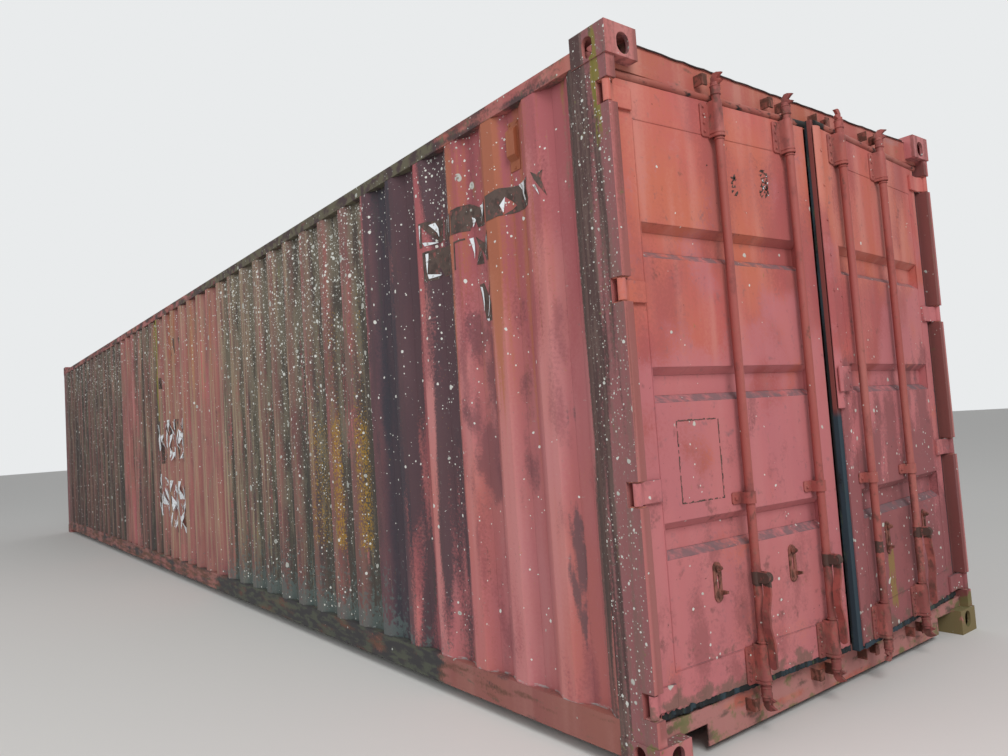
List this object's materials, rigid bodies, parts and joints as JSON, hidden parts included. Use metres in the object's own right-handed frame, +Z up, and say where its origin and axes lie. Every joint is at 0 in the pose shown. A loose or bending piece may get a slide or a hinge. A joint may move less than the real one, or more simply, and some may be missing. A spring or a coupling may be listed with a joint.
{
  "type": "shipping container",
  "caption": "Weathered dry freight container of corrugated steel, with corner fittings, a plywood floor and two end doors that swing on pins and have turning lock rods.",
  "frame": {"origin": "middle of the footprint, on the ground plane under the bottom corner fittings", "axes": "+X along the box towards the door end, +Y across it to the right of someone facing the doors, +Z up"},
  "size_m": [12.2908, 2.438, 2.591],
  "materials": {
    "cast_steel": "weathered oxide red paint over cast steel",
    "post_paint": "weathered oxide red paint with lichen",
    "door_paint": "chalky oxide red paint",
    "wall_paint": "chalky oxide red paint with rust and moss",
    "underframe_paint": "weathered oxide red paint with rust",
    "hardware_paint": "oxide red paint over forged steel",
    "rusty_steel": "rusty steel",
    "vent_paint": "aged orange brown",
    "door_rubber": "matt weathered rubber",
    "floor_plywood": "worn hardwood plywood"
  },
  "bodies": {
    "box": {"rear_top_fittings": "cast_steel", "rear_bottom_fittings": "cast_steel", "front_top_fittings": "cast_steel", "front_bottom_fittings": "cast_steel", "rear_post_left": "post_paint", "rear_post_right": "post_paint", "door_header": "door_paint", "door_sill": "door_paint", "front_posts": "wall_paint", "front_header": "wall_paint", "front_sill": "wall_paint", "top_rail_left": "wall_paint", "top_rail_right": "wall_paint", "bottom_rail_left": "underframe_paint", "bottom_rail_right": "underframe_paint", "side_wall_left": "wall_paint", "side_wall_right": "wall_paint", "front_wall": "wall_paint", "roof": "wall_paint", "floor_boards": "floor_plywood", "cross_members": "underframe_paint", "vents": "vent_paint", "hinge_pins": "rusty_steel", "keepers": "rusty_steel"},
    "left_door": {"left_door_frame": "door_paint", "left_door_panel": "door_paint", "left_door_seal": "door_rubber", "left_hinge_blades": "hardware_paint", "left_rod_bearings": "hardware_paint", "left_handle_catches": "rusty_steel"},
    "right_door": {"right_door_frame": "door_paint", "right_door_panel": "door_paint", "right_door_seal": "door_rubber", "right_hinge_blades": "hardware_paint", "right_rod_bearings": "hardware_paint", "right_handle_catches": "rusty_steel", "right_cover_strip": "door_paint", "tamper_plate": "hardware_paint"},
    "left_outer_rod": {"lock_rod_left_outer": "hardware_paint"},
    "left_inner_rod": {"lock_rod_left_inner": "hardware_paint"},
    "right_inner_rod": {"lock_rod_right_inner": "hardware_paint"},
    "right_outer_rod": {"lock_rod_right_outer": "hardware_paint"},
    "left_outer_handle": {"handle_left_outer": "hardware_paint"},
    "left_inner_handle": {"handle_left_inner": "hardware_paint"},
    "right_outer_handle": {"handle_right_outer": "hardware_paint"}
  },
  "joints": [
    {"name": "left_door_hinge", "type": "hinge", "parent": "box", "child": "left_door", "pos_m": [6.068, -1.199, 1.3], "axis": [0, 0, -1], "range_deg": [-3.4, 253.6]},
    {"name": "right_door_hinge", "type": "hinge", "parent": "box", "child": "right_door", "pos_m": [6.068, 1.199, 1.3], "axis": [0, 0, 1], "range_deg": [-5, 252]},
    {"name": "left_outer_rod_turn", "type": "hinge", "parent": "left_door", "child": "left_outer_rod", "pos_m": [6.10386, -0.62912, 1.3], "axis": [0, 0, -1], "range_deg": [0, 90]},
    {"name": "left_inner_rod_turn", "type": "hinge", "parent": "left_door", "child": "left_inner_rod", "pos_m": [6.13019, -0.1859, 1.3], "axis": [0, 0, -1], "range_deg": [0, 90]},
    {"name": "right_inner_rod_turn", "type": "hinge", "parent": "right_door", "child": "right_inner_rod", "pos_m": [6.15846, 0.18804, 1.3], "axis": [0, 0, 1], "range_deg": [0, 180]},
    {"name": "right_outer_rod_turn", "type": "hinge", "parent": "right_door", "child": "right_outer_rod", "pos_m": [6.11976, 0.63035, 1.3], "axis": [0, 0, 1], "range_deg": [0, 90]},
    {"name": "left_outer_handle_swing", "type": "hinge", "parent": "left_outer_rod", "child": "left_outer_handle", "pos_m": [6.14778, -0.63173, 0.583], "axis": [-0.0593, -0.9982, 0], "range_deg": [0, 90]},
    {"name": "left_inner_handle_swing", "type": "hinge", "parent": "left_inner_rod", "child": "left_inner_handle", "pos_m": [6.17411, -0.18851, 0.583], "axis": [-0.0593, -0.9982, 0], "range_deg": [0, 90]},
    {"name": "right_outer_handle_swing", "type": "hinge", "parent": "right_outer_rod", "child": "right_outer_handle", "pos_m": [6.16359, 0.63418, 0.583], "axis": [0.0872, -0.9962, 0], "range_deg": [0, 90]}
  ]
}
